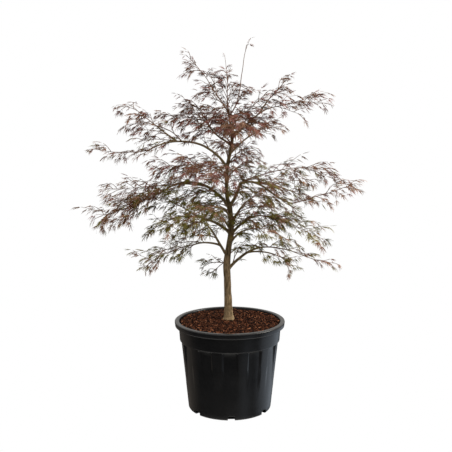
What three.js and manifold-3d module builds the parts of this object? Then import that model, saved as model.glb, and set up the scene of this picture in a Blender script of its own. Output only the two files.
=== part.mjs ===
// A cut-leaf Japanese maple in a round nursery pot, in millimetres, +Z up.
// The origin is the middle of the pot's flat underside. +X is to the tree's right and -Y is its front.
//
// The pot is a thick shell with a rolled lip, a plain collar, twelve recessed panels and drain notches.
// The trunk, each bough and each mass of foliage is its own closed solid, 0.3 mm clear of what carries it.
// A limb is a curve that starts with one heading and bends evenly to others, so a few angles and a length
// give its shape. A mass is a stem of that kind with alternate shoots, each ending in a five-lobed leaf.

import * as THREE from "three";
import { mergeVertices } from "three/addons/utils/BufferGeometryUtils.js";
import Module from "manifold-3d";

const wasm = await Module();
wasm.setup();

const CLEAR = 0.3; // gap between solids that touch on the real plant

// ---------------------------------------------------------------- pot and bark mulch

const POT = {
  height: 404,
  lipRadius: 250,
  lipWidth: 22,
  lipHeight: 24,
  lipRound: 5,
  collarTopRadius: 231,
  collarBottomZ: 315,
  collarBottomRadius: 226.5,
  bodyTopRadius: 220.5,
  baseRadius: 188,
  baseRound: 7,
  wall: 4,
  floor: 5,
  sides: 48,
};
const FRONT = -90; // azimuth of the tree's front
const PANEL = { count: 12, width: 58, topDepth: 8, bottomZ: 110, topZ: 309 };
const NOTCH = { count: 7, width: 31, height: 19, depth: 40, firstAzimuth: -88 };
const MULCH = { edgeZ: 396, edgeGap: 2, groundZ: 398, flatRadius: 64, slopeRings: 2, sides: 24 };

// ---------------------------------------------------------------- trunk

// Each knot: height, offset to +X, offset to +Y, radius. The trunk is cut flat where it meets the ground.
const TRUNK = {
  knots: [
    [388, -3, 30, 28],
    [418, -4, 30, 20],
    [470, -7, 30, 17],
    [560, -10, 30, 14.6],
    [655, -13, 28, 15.5],
    [735, -4, 31, 11.5],
    [800, 6, 34, 12.3],
    [905, 0, 37, 10.5],
    [960, -12, 35, 7.4],
    [1085, -12, 30, 7],
    [1215, 10, 24, 5.6],
    [1350, -8, 30, 3.6],
  ],
  steps: 22,
  crowding: 1.15, // above 1, the rings are closer together towards the foot
  sides: 9,
};

// ---------------------------------------------------------------- limbs

// Each bough: name, what it springs from, where (height on the trunk, or share of a bough's length),
// azimuth in degrees from +X, rise in degrees at its start, middle and tip, length, and radius at each end.
const BOUGHS = [
  ["left_low", "trunk", 690, 212, [50, 58, 42], 190, 6.5, 3],
  ["left_bottom", "left_low", 0.33, 188, [25, 2, -15], 125, 4.6, 2.8],
  ["right_low", "trunk", 622, -10, [54, 36, 10], 205, 7.5, 3.6],
  ["right_bottom", "right_low", 0.62, -30, [16, 2, -6], 125, 3.6, 2.8],
  ["left_mid", "trunk", 788, 168, [54, 20, 30], 215, 7.5, 3.4],
  ["left_drooping", "left_mid", 0.75, 200, [14, 2, -6], 110, 3.8, 2.8],
  ["left_upper", "trunk", 905, 188, [60, 20, -38], 340, 7.5, 3],
  ["left_level", "left_upper", 0.45, 162, [8, 2, -4], 135, 4, 2.8],
  ["right_upper", "trunk", 912, 5, [58, 66, 76], 122, 7.8, 6],
  ["right_long", "right_upper", 0.94, -12, [30, -34, -8], 262, 5.2, 3],
  ["right_second", "right_long", 0.26, 14, [4, -14, -22], 150, 4, 2.7],
  ["right_third", "right_upper", 0.9, 34, [34, 18, 10], 115, 4.4, 2.8],
  ["right_mid", "trunk", 783, -20, [56, 38, 12], 165, 6.8, 3.4],
  ["left_high", "trunk", 1088, 184, [62, 12, -30], 396, 5.6, 2.8],
  ["left_high_fork", "left_high", 0.67, 165, [30, 36, 36], 112, 3.2, 2.7],
  ["left_rising", "trunk", 1187, 150, [34, 34, 60], 160, 4.6, 2.8],
  ["right_high", "trunk", 1148, -30, [48, 38, 32], 138, 4, 2.8],
  ["right_rising", "trunk", 1218, 8, [46, 42, 30], 196, 4.6, 2.8],
  ["right_rising_shoot", "right_rising", 0.84, 18, [56, 56, 56], 66, 3, 2.6],
  ["front_low", "trunk", 742, 312, [52, 32, 12], 165, 5, 2.8],
  ["front_mid", "trunk", 860, 246, [46, 22, 8], 175, 4.8, 2.8],
  ["back_low", "trunk", 838, 50, [48, 38, 20], 170, 5.6, 2.8],
  ["back_mid", "trunk", 800, 120, [44, 24, 8], 185, 5, 2.8],
];

// Each mass: name, what its stem meets, azimuth, rise at its start, middle and tip, length of stem, reach to
// each side, number of shoots and leaf colour. A mass on the trunk gives the height that it springs from.
const MASSES = [
  ["left_foot_leaves", "trunk@652", 190, [30, 2, -24], 92, 40, 4, "olive"],
  ["left_low_leaves", "left_low", 206, [25, 2, -22], 180, 68, 9, "olive"],
  ["left_bottom_leaves", "left_bottom", 194, [-8, -20, -34], 205, 68, 8, "olive"],
  ["right_low_leaves", "right_low", -8, [6, -18, -4], 315, 50, 8, "bronze"],
  ["right_bottom_leaves", "right_bottom", -28, [-10, -22, -40], 98, 42, 4, "olive"],
  ["left_mid_leaves", "left_mid", 164, [36, 14, 4], 200, 78, 10, "olive"],
  ["left_drooping_leaves", "left_drooping", 204, [-16, -22, -30], 122, 58, 7, "olive"],
  ["left_upper_leaves", "left_upper", 192, [-32, -20, -16], 300, 88, 17, "bronze"],
  ["left_level_leaves", "left_level", 166, [-4, -6, -1], 325, 68, 11, "bronze"],
  ["right_long_leaves", "right_long", -8, [16, 18, 22], 268, 56, 9, "bronze"],
  ["right_second_leaves", "right_second", 12, [-18, -14, -8], 84, 46, 5, "olive"],
  ["right_third_leaves", "right_third", 22, [16, 4, -12], 350, 64, 11, "bronze"],
  ["right_mid_leaves", "right_mid", -18, [0, -19, -26], 268, 78, 12, "olive"],
  ["left_far_leaves", "left_high", 178, [-14, 2, 10], 245, 42, 8, "bronze"],
  ["left_high_fork_leaves", "left_high_fork", 166, [32, 35, 4], 185, 48, 7, "red"],
  ["left_rising_leaves", "left_rising", 164, [34, 6, -9], 165, 70, 9, "red"],
  ["right_high_leaves", "right_high", -22, [34, 16, -10], 118, 56, 6, "red"],
  ["right_rising_leaves", "right_rising", 6, [18, 7, -8], 272, 56, 9, "red"],
  ["right_rising_shoot_leaves", "right_rising_shoot", 10, [44, 48, 50], 130, 32, 5, "red"],
  ["left_red_leaves", "trunk@1062", 192, [34, 2, -20], 285, 80, 14, "red"],
  ["top_left_leaves", "trunk@1332", 174, [54, 56, 42], 305, 26, 6, "red"],
  ["top_middle_leaves", "trunk@1350", 96, [60, 84, 80], 128, 52, 8, "red"],
  ["top_tip_leaves", "trunk@1318", 356, [50, 84, 62], 345, 14, 3, "red"],
  ["top_right_leaves", "trunk@1270", 352, [52, 40, 50], 210, 56, 8, "red"],
  ["front_low_leaves", "front_low", 316, [14, 0, -16], 140, 62, 6, "olive"],
  ["front_mid_leaves", "front_mid", 236, [8, -10, -22], 190, 70, 7, "olive"],
  ["front_high_leaves", "trunk@1036", 246, [36, 4, -20], 290, 76, 9, "red"],
  ["front_top_leaves", "trunk@1196", 284, [46, 16, -14], 280, 78, 11, "red"],
  ["back_low_leaves", "back_low", 56, [16, -8, -24], 230, 82, 9, "olive"],
  ["back_mid_leaves", "back_mid", 116, [10, -12, -26], 230, 82, 8, "olive"],
  ["back_high_leaves", "trunk@1000", 78, [44, 8, -20], 320, 76, 9, "bronze"],
  ["back_upper_leaves", "trunk@1120", 96, [40, 10, -18], 270, 66, 8, "red"],
  ["back_top_leaves", "trunk@1240", 86, [48, 20, -12], 250, 72, 9, "red"],
];

// Boughs and stems are straight for each step of their length. A stem starts a little thinner than the tip
// of the limb that carries it, and has no shoots on its first `bare` share.
const LIMB = { step: 48, sides: 5 };
const STEM = { step: 85, sides: 4, startShare: 0.97, mostRadius: 3.4, leastRadius: 2.7, bare: 0.05 };
const SHOOT = {
  sides: 3,
  radius: 1.6,
  angle: 50, // degrees out from the stem
  angleSpread: 30,
  follow: 0.6, // the share of the stem's own rise that a shoot takes on
  lift: 6, // degrees above that
  liftSpread: 60,
  shortest: 0.4, // share of the reach
  narrowing: 0.3, // how much shorter the last shoot is, as a share of the reach
};
const LEAF = {
  length: 58, // at no reach
  perReach: 0.6, // how much longer for each millimetre that the mass reaches
  lengthSpread: 0.3,
  lobeAngles: [-74, -38, 0, 38, 74],
  lobeShares: [0.6, 0.88, 1, 0.88, 0.6],
  notchShare: 0.32,
  heart: 0.12, // where the blade is thickest
  thick: 2.4,
  droop: 0.2, // how far the tip hangs, as a share of the length
  fall: 26, // degrees that the leaf points below level
  fallSpread: 44,
};
// How a shoot or leaf finds room: how often it tries, how far it may turn, the half width that a lobe is
// given, its least distance to its own mass and to others, and the share next to its root that isn't tested.
const ROOM = { tries: 12, turn: 70, lobe: 6, ownMass: 8, others: 1, rootShare: 0.25 };
// The space of a mass is `flatness` as high as it is wide, and follows its stem at this many places.
const SPACE = { flatness: 2 / 3, places: 13 };

const FIRST_SEED = 101; // each mass takes the next seed

const COLOURS = {
  pot: [0x1b1c1e, 0.45],
  mulch: [0x4a2a1c, 0.95],
  bark: [0x6f5f42, 0.85],
  olive: [0x4e4a2c, 0.6],
  bronze: [0x5b4337, 0.6],
  red: [0x6e3a37, 0.6],
};

// ---------------------------------------------------------------- helpers

const rad = THREE.MathUtils.degToRad;
const vec = (x, y, z) => new THREE.Vector3(x, y, z);

// A repeatable stream of numbers from 0 to 1.
function seeded(seed) {
  let state = seed >>> 0;
  return () => {
    state = (state + 0x6d2b79f5) >>> 0;
    let t = Math.imul(state ^ (state >>> 15), state | 1);
    t ^= t + Math.imul(t ^ (t >>> 7), t | 61);
    return ((t ^ (t >>> 14)) >>> 0) / 4294967296;
  };
}

// The unit vector with that azimuth from +X and that rise above level, both in degrees.
function heading(azimuth, rise) {
  const level = Math.cos(rad(rise));
  return vec(level * Math.cos(rad(azimuth)), level * Math.sin(rad(azimuth)), Math.sin(rad(rise)));
}

// The value at share t of a quantity that is start, middle and tip at 0, 0.5 and 1.
function bend([start, middle, tip], t) {
  return start * (1 - t) * (1 - 2 * t) + middle * 4 * t * (1 - t) + tip * t * (2 * t - 1);
}

// Points, one for each step, along a limb that sets out from `start`.
function limbPoints(start, azimuth, rise, length, step) {
  const count = Math.max(2, Math.round(length / step));
  const points = [start.clone()];
  for (let i = 0; i < count; i++) {
    const along = heading(azimuth, bend(rise, (i + 0.5) / count));
    points.push(points[i].clone().addScaledVector(along, length / count));
  }
  return points;
}

function pointAt(points, share) {
  const place = Math.min(Math.max(share, 0), 1) * (points.length - 1);
  const i = Math.min(Math.floor(place), points.length - 2);
  return points[i].clone().lerp(points[i + 1], place - i);
}

// The rise in degrees of the stretch at that share of the length.
function riseAt(points, share) {
  const i = Math.min(Math.floor(share * (points.length - 1)), points.length - 2);
  const along = points[i + 1].clone().sub(points[i]).normalize();
  return THREE.MathUtils.radToDeg(Math.asin(along.z));
}

// A solid from loose vertices and triangles.
function solidFrom(vertices, triangles) {
  const mesh = new wasm.Mesh({
    numProp: 3,
    vertProperties: new Float32Array(vertices.flatMap((v) => [v.x, v.y, v.z])),
    triVerts: new Uint32Array(triangles.flat()),
  });
  return new wasm.Manifold(mesh);
}

// A solid from a closed three.js geometry.
function solidOf(geometry, matrix = new THREE.Matrix4()) {
  const bare = (geometry.index ? geometry.toNonIndexed() : geometry.clone()).applyMatrix4(matrix);
  bare.deleteAttribute("normal");
  bare.deleteAttribute("uv");
  const merged = mergeVertices(bare, 1e-3);
  return new wasm.Manifold(
    new wasm.Mesh({
      numProp: 3,
      vertProperties: merged.attributes.position.array,
      triVerts: new Uint32Array(merged.index.array),
    }),
  );
}

// A tapering tube through points, with a radius for each. Its rings start at the limb's right-hand side
// and go over the top to the left. It ends flat, or in a blade that grows from its last ring.
function tube(points, radii, sides, azimuth, blade) {
  const vertices = [];
  const triangles = [];
  points.forEach((point, i) => {
    const before = points[Math.max(i - 1, 0)];
    const after = points[Math.min(i + 1, points.length - 1)];
    const along = after.clone().sub(before).normalize();
    const right = heading(azimuth - 90, 0);
    right.addScaledVector(along, -right.dot(along)).normalize();
    const up = right.clone().cross(along);
    for (let k = 0; k < sides; k++) {
      const angle = (2 * Math.PI * k) / sides - (sides === 3 ? Math.PI / 6 : 0);
      vertices.push(
        point
          .clone()
          .addScaledVector(right, radii[i] * Math.cos(angle))
          .addScaledVector(up, radii[i] * Math.sin(angle)),
      );
    }
  });
  const last = (points.length - 1) * sides;
  for (let k = 0; k < sides; k++) {
    const next = (k + 1) % sides;
    for (let ring = 0; ring < last; ring += sides) {
      triangles.push([ring + k, ring + sides + next, ring + next]);
      triangles.push([ring + k, ring + sides + k, ring + sides + next]);
    }
    if (k > 1) triangles.push([0, k - 1, k]);
    if (k > 1 && !blade) triangles.push([last, last + k, last + k - 1]);
  }
  if (blade) {
    const [right, left] = [last, last + 2];
    const first = vertices.push(...bladePoints(blade)) - LOBES.length - 2;
    const outline = [right, ...LOBES.map((_, i) => first + i), left];
    const [top, bottom] = [vertices.length - 2, vertices.length - 1];
    triangles.push(...fans(outline, top, bottom));
    for (let k = 0; k < sides; k++) {
      triangles.push([last + k, k < 2 ? top : bottom, last + ((k + 1) % sides)]);
    }
  }
  return solidFrom(vertices, triangles);
}

// The two faces of a blade: fans from its top and bottom points to each edge of its outline.
function fans(outline, top, bottom) {
  return outline
    .slice(1)
    .flatMap((p, i) => [
      [outline[i], p, top],
      [p, outline[i], bottom],
    ]);
}

// Evenly spaced values from start to tip.
function taper(count, start, tip) {
  return Array.from({ length: count }, (_, i) => start + ((tip - start) * i) / (count - 1));
}

// The largest of a solid's separate bodies. A sealed hollow is another body, so leaving it out fills it.
function largestBody(solid) {
  return solid.decompose().reduce((a, b) => (b.volume() > a.volume() ? b : a));
}

// The shortest distance between segments p-q and r-s.
function gapBetween(p, q, r, s) {
  const u = q.clone().sub(p);
  const v = s.clone().sub(r);
  const w = p.clone().sub(r);
  const a = u.dot(u);
  const b = u.dot(v);
  const c = v.dot(v);
  const d = u.dot(w);
  const e = v.dot(w);
  const clamp = (x) => Math.min(Math.max(x, 0), 1);
  const bottom = a * c - b * b;
  let i = bottom > 1e-9 ? clamp((b * e - c * d) / bottom) : 0;
  const j = clamp((b * i + e) / Math.max(c, 1e-9));
  i = clamp((b * j - d) / Math.max(a, 1e-9));
  return p.clone().addScaledVector(u, i).distanceTo(r.clone().addScaledVector(v, j));
}

// ---------------------------------------------------------------- pot

function potProfile() {
  const p = POT;
  const lipBottomZ = p.height - p.lipHeight;
  const lipInner = p.lipRadius - p.lipWidth;
  const corner = new THREE.Path();
  corner.moveTo(0, 0);
  corner.lineTo(p.baseRadius - p.baseRound, 0);
  corner.quadraticCurveTo(p.baseRadius, 0, outerRadius(p.baseRound), p.baseRound);
  corner.lineTo(p.bodyTopRadius, p.collarBottomZ);
  corner.lineTo(p.collarBottomRadius, p.collarBottomZ);
  corner.lineTo(p.collarTopRadius, lipBottomZ);
  corner.lineTo(p.lipRadius, lipBottomZ);
  corner.lineTo(p.lipRadius, p.height - p.lipRound);
  corner.quadraticCurveTo(p.lipRadius, p.height, p.lipRadius - p.lipRound, p.height);
  corner.lineTo(lipInner, p.height);
  corner.lineTo(p.collarTopRadius - p.wall, lipBottomZ);
  corner.lineTo(innerRadius(p.collarBottomZ), p.collarBottomZ);
  corner.lineTo(innerRadius(p.floor), p.floor);
  corner.lineTo(0, p.floor);
  return corner.getPoints(2);
}

function outerRadius(z) {
  return THREE.MathUtils.lerp(POT.baseRadius, POT.bodyTopRadius, z / POT.collarBottomZ);
}

// The inside of the wall is behind the deepest part of the panels.
function innerRadius(z) {
  return outerRadius(z) - POT.wall - (PANEL.topDepth * z) / POT.collarBottomZ;
}

// A solid of revolution round the Z axis.
function turned(profile, sides) {
  return solidOf(new THREE.LatheGeometry(profile, sides), new THREE.Matrix4().makeRotationX(Math.PI / 2));
}

function makePot() {
  const cuts = [...panelCutters(), ...notchCutters()];
  return turned(potProfile(), POT.sides).subtract(wasm.Manifold.union(cuts));
}

// Each panel is a wedge sunk into the wall, deepest under the collar and running out towards the foot.
function panelCutters() {
  const height = PANEL.topZ - PANEL.bottomZ;
  const side = new THREE.Shape();
  side.moveTo(outerRadius(PANEL.bottomZ), 0);
  side.lineTo(POT.lipRadius, 0);
  side.lineTo(POT.lipRadius, height);
  side.lineTo(outerRadius(PANEL.topZ) - PANEL.topDepth, height);
  side.closePath();
  const wedge = new THREE.ExtrudeGeometry(side, { depth: PANEL.width, bevelEnabled: false })
    .rotateX(Math.PI / 2)
    .translate(0, PANEL.width / 2, PANEL.bottomZ);
  return aroundAxis(wedge, PANEL.count, FRONT);
}

function notchCutters() {
  const box = new THREE.BoxGeometry(NOTCH.depth, NOTCH.width, 2 * NOTCH.height);
  return aroundAxis(box.translate(POT.baseRadius, 0, 0), NOTCH.count, NOTCH.firstAzimuth);
}

// Evenly spaced solids round the Z axis, the first at that azimuth.
function aroundAxis(geometry, count, first) {
  return Array.from({ length: count }, (_, i) =>
    solidOf(geometry, new THREE.Matrix4().makeRotationZ(rad(first + (360 * i) / count))),
  );
}

// The bark mulch and the soil under it fill the pot, 0.3 mm clear of it. It is level round the trunk.
function makeMulch() {
  const floorZ = POT.floor + CLEAR;
  const edgeRadius = POT.collarTopRadius - POT.wall - MULCH.edgeGap;
  const profile = [
    [0, floorZ],
    [innerRadius(floorZ) - 2 * CLEAR, floorZ],
    [innerRadius(POT.collarBottomZ) - 2 * CLEAR, POT.collarBottomZ],
    [edgeRadius, MULCH.edgeZ],
  ];
  for (let i = 1; i <= MULCH.slopeRings; i++) {
    const share = i / MULCH.slopeRings;
    profile.push([
      THREE.MathUtils.lerp(edgeRadius, MULCH.flatRadius, share),
      MULCH.edgeZ + (MULCH.groundZ - MULCH.edgeZ) * Math.sin((share * Math.PI) / 2),
    ]);
  }
  profile.push([0, MULCH.groundZ]);
  return turned(
    profile.map(([radius, z]) => new THREE.Vector2(radius, z)),
    MULCH.sides,
  );
}

// ---------------------------------------------------------------- limbs

// Every limb by name: its points, its radii, its number of sides and its azimuth.
const limbs = new Map();

function addTrunk() {
  const places = TRUNK.knots.map(([z, x, y]) => vec(x, y, z));
  const curve = new THREE.CatmullRomCurve3(places, false, "centripetal");
  const last = TRUNK.knots.length - 1;
  const points = [];
  const radii = [];
  for (let i = 0; i <= TRUNK.steps; i++) {
    const place = (i / TRUNK.steps) ** TRUNK.crowding * last;
    const k = Math.min(Math.floor(place), last - 1);
    points.push(curve.getPoint(place / last));
    radii.push(THREE.MathUtils.lerp(TRUNK.knots[k][3], TRUNK.knots[k + 1][3], place - k));
  }
  limbs.set("trunk", { points, radii, sides: TRUNK.sides, azimuth: 0 });
}

// The point on the trunk's centre line at height z.
function onTrunk(z) {
  const { points } = limbs.get("trunk");
  const i = Math.max(points.findIndex((p) => p.z >= z), 1);
  const [a, b] = [points[i - 1], points[i]];
  return a.clone().lerp(b, Math.min((z - a.z) / (b.z - a.z), 1));
}

function addBough([name, parent, place, azimuth, rise, length, startRadius, tipRadius]) {
  const start = parent === "trunk" ? onTrunk(place) : pointAt(limbs.get(parent).points, place);
  const points = limbPoints(start, azimuth, rise, length, LIMB.step);
  const radii = taper(points.length, startRadius, tipRadius);
  limbs.set(name, { points, radii, sides: LIMB.sides, azimuth });
}

function limbSolid({ points, radii, sides, azimuth }, grow = 0) {
  return tube(
    points,
    radii.map((r) => r + grow),
    sides,
    azimuth,
  );
}

// What is left of a solid when it is cut clear of the named limbs.
function clearOfLimbs(solid, names) {
  const cut = names.reduce((rest, name) => rest.subtract(limbSolid(limbs.get(name), CLEAR)), solid);
  return largestBody(cut);
}

// The trunk above the ground.
function standingTrunk() {
  const below = MULCH.groundZ + CLEAR;
  const ground = new THREE.BoxGeometry(2 * POT.baseRadius, 2 * POT.baseRadius, 2 * below);
  return limbSolid(limbs.get("trunk")).subtract(solidOf(ground));
}

// ---------------------------------------------------------------- foliage

// The tips of a leaf's lobes and the notches between them, from right to left: share of length and angle.
const LOBES = LEAF.lobeAngles.flatMap((angle, i) => {
  const tip = [LEAF.lobeShares[i], angle];
  const next = LEAF.lobeAngles[i + 1];
  return next === undefined ? [tip] : [tip, [LEAF.notchShare, (angle + next) / 2]];
});

// A leaf's outline from its right-hand lobe to its left, and then the points above and below its heart.
function bladePoints({ matrix, size }) {
  const spots = LOBES.map(([share, angle]) =>
    heading(angle, 0)
      .multiplyScalar(size * share)
      .setZ(-size * LEAF.droop * share ** 2),
  );
  const heart = size * LEAF.heart;
  spots.push(vec(heart, 0, LEAF.thick / 2), vec(heart, 0, -LEAF.thick / 2));
  return spots.map((spot) => spot.applyMatrix4(matrix));
}

// The lines that a leaf's lobes lie along. They start a little way out if `share` says so.
function leafLines(leaf, share = 0) {
  const root = vec(0, 0, 0).applyMatrix4(leaf.matrix);
  const tips = bladePoints(leaf).filter((_, i) => i < LOBES.length && i % 2 === 0);
  return tips.map((tip) => [root.clone().lerp(tip, share), tip]);
}

// A leaf at `origin` whose +X is along the heading, +Y to its left and +Z upwards.
function leafAt(origin, azimuth, rise, size) {
  const along = heading(azimuth, rise);
  const left = heading(azimuth + 90, 0);
  const matrix = new THREE.Matrix4()
    .makeBasis(along, left, along.clone().cross(left))
    .setPosition(origin);
  return { matrix, size };
}

// What is already in place, as { node, start, end, radius }, so that nothing is grown into it.
const taken = [];

function claim(node, start, end, radius) {
  taken.push({ node, start, end, radius });
}

// Whether a line is clear of what other nodes hold by `radius`, and of what its own node holds by `own`.
function isFree(node, start, end, radius, own = -1) {
  return taken.every((other) => {
    const least = other.node === node ? own : radius + other.radius + ROOM.others;
    return gapBetween(start, end, other.start, other.end) > least;
  });
}

// Whether a point is in the space that goes out to `reach` round a stem.
function inSpace(point, points, reach) {
  const near = taper(SPACE.places, 0, 1)
    .map((share) => pointAt(points, share))
    .reduce((a, b) => (b.distanceTo(point) < a.distanceTo(point) ? b : a));
  const level = Math.hypot(point.x - near.x, point.y - near.y);
  return level < reach && Math.abs(point.z - near.z) < SPACE.flatness * reach;
}

function massStem([, from, azimuth, rise, length]) {
  const [carrier, height] = from.split("@");
  const limb = limbs.get(carrier);
  const atTip = !height || Number(height) >= limb.points.at(-1).z;
  const start = atTip ? limb.points.at(-1).clone() : onTrunk(Number(height));
  if (atTip) start.addScaledVector(heading(azimuth, rise[0]), CLEAR);
  const points = limbPoints(start, azimuth, rise, length, STEM.step);
  const radius = Math.min(limb.radii.at(-1) * STEM.startShare, STEM.mostRadius);
  return { points, radii: taper(points.length, radius, STEM.leastRadius), carrier };
}

// The shoots of a mass, on alternate sides of its stem, with the headings and lengths that its seed gives.
function massShoots(points, azimuth, reach, count, random) {
  return Array.from({ length: count }, (_, k) => {
    const share = STEM.bare + ((1 - STEM.bare) * (k + 0.5)) / count;
    const side = k % 2 ? 1 : -1;
    const out = SHOOT.angle + SHOOT.angleSpread * (random() - 0.5);
    const lift = SHOOT.lift + SHOOT.liftSpread * (random() - 0.5);
    const fullness = SHOOT.shortest + (1 - SHOOT.shortest) * random();
    return {
      start: pointAt(points, share),
      azimuth: azimuth + side * out,
      rise: SHOOT.follow * riseAt(points, share) + lift,
      length: reach * fullness * (1 - SHOOT.narrowing * share),
    };
  });
}

// A leaf near the wanted heading that is clear of what is in place, or nothing if no try succeeds.
function findLeaf({ name, length, inside, random }, origin, azimuth) {
  for (let turn = 0; turn < ROOM.tries; turn++) {
    const leaf = leafAt(
      origin,
      azimuth + ROOM.turn * (random() - 0.5) * Math.min(turn, 2),
      -LEAF.fall + LEAF.fallSpread * (random() - 0.5),
      length * (1 + LEAF.lengthSpread * (random() - 0.5)),
    );
    const free = leafLines(leaf, ROOM.rootShare).every(
      ([a, b]) => inside(b) && isFree(name, a, b, ROOM.lobe, ROOM.ownMass),
    );
    if (free) {
      leafLines(leaf).forEach(([a, b]) => claim(name, a, b, ROOM.lobe));
      return leaf;
    }
  }
  return null;
}

// A mass: its stem and shoots, each of which ends in a leaf if there is room for one.
function makeMass([name, , azimuth, , , reach, count], seed, stem) {
  const random = seeded(seed);
  const length = LEAF.length + LEAF.perReach * reach;
  const inside = (point) => inSpace(point, stem.points, reach + length);
  const mass = { name, length, inside, random };
  const tipLeaf = findLeaf(mass, stem.points.at(-1), azimuth);
  const pieces = [tube(stem.points, stem.radii, STEM.sides, azimuth, tipLeaf)];
  for (const shoot of massShoots(stem.points, azimuth, reach, count, random)) {
    const end = shoot.start.clone().addScaledVector(heading(shoot.azimuth, shoot.rise), shoot.length);
    if (!inside(end) || !isFree(name, shoot.start, end, SHOOT.radius)) continue;
    const leaf = findLeaf(mass, end, shoot.azimuth);
    if (!leaf) continue;
    claim(name, shoot.start, end, SHOOT.radius);
    const radii = [SHOOT.radius, SHOOT.radius];
    pieces.push(tube([shoot.start, end], radii, SHOOT.sides, shoot.azimuth, leaf));
  }
  return largestBody(wasm.Manifold.union(pieces));
}

// ---------------------------------------------------------------- assembly

const tree = new THREE.Group();
const container = new THREE.Group();
const wood = new THREE.Group();
const foliage = new THREE.Group();
tree.add(container, wood, foliage);

function addNode(group, name, solid, [colour, roughness]) {
  const { vertProperties, triVerts } = solid.getMesh();
  const geometry = new THREE.BufferGeometry()
    .setAttribute("position", new THREE.BufferAttribute(vertProperties, 3))
    .setIndex(new THREE.BufferAttribute(triVerts, 1));
  geometry.computeVertexNormals();
  const material = new THREE.MeshStandardMaterial({ color: colour, roughness, metalness: 0 });
  const mesh = new THREE.Mesh(geometry, material);
  mesh.name = name;
  group.add(mesh);
}

function claimLimb(name, { points, radii }) {
  points.slice(1).forEach((p, i) => claim(name, points[i], p, radii[i] + CLEAR));
}

addNode(container, "pot", makePot(), COLOURS.pot);
addNode(container, "bark_mulch", makeMulch(), COLOURS.mulch);

addTrunk();
BOUGHS.forEach(addBough);
limbs.forEach((limb, name) => claimLimb(name, limb));
addNode(wood, "trunk", standingTrunk(), COLOURS.bark);
const limbNames = [...limbs.keys()];
BOUGHS.forEach(([name], i) => {
  const bough = clearOfLimbs(limbSolid(limbs.get(name)), limbNames.slice(0, i + 1));
  addNode(wood, name, bough, COLOURS.bark);
});

const stems = MASSES.map(massStem);
MASSES.forEach(([name], i) => claimLimb(name, stems[i]));
MASSES.forEach((row, i) => {
  const mass = makeMass(row, FIRST_SEED + i, stems[i]);
  const near = limbNames.slice(0, limbNames.indexOf(stems[i].carrier) + 1);
  addNode(foliage, row[0], clearOfLimbs(mass, near), COLOURS[row[7]]);
});

export default tree;
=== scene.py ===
"""The looks of a cut-leaf Japanese maple in a round nursery pot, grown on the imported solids.

Lengths in the tables are millimetres, as in the part's source, and every mesh is in metres. A limb is a
curve that sets out with one heading and bends evenly to others. Each mass of foliage is a stem of that
kind with alternate shoots; here every shoot goes on into finer twigs, which carry the leaves in pairs.
"""
import math
import random

import bmesh
import bpy
import numpy as np
from mathutils import Matrix, Vector, noise


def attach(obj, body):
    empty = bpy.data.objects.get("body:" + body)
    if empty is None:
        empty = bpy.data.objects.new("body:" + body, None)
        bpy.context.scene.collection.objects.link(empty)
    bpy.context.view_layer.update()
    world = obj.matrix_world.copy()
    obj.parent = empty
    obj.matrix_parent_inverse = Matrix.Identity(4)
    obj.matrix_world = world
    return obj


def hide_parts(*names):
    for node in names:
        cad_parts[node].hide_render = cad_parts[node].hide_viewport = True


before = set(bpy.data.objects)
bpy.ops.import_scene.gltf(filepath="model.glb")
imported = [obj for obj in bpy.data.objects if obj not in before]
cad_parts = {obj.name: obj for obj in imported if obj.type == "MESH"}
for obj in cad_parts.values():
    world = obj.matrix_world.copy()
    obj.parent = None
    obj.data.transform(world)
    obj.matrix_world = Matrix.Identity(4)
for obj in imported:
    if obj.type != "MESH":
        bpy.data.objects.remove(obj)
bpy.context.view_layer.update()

MM = 0.001
SEEDS = {"leaves": 3, "boughs": 5, "chips": 11, "masses": 101, "bough_twigs": 201, "fine_boughs": 301}

# ---------------------------------------------------------------- the plant's tables, as in the source

# Each knot: height, offset to +X, offset to +Y, radius.
TRUNK = [
    (388, -3, 30, 28),
    (418, -4, 30, 20),
    (470, -7, 30, 17),
    (560, -10, 30, 14.6),
    (655, -13, 28, 15.5),
    (735, -4, 31, 11.5),
    (800, 6, 34, 12.3),
    (905, 0, 37, 10.5),
    (960, -12, 35, 7.4),
    (1085, -12, 30, 7),
    (1215, 10, 24, 5.6),
    (1350, -8, 30, 3.6),
]
GROUND_Z = 398

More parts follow.
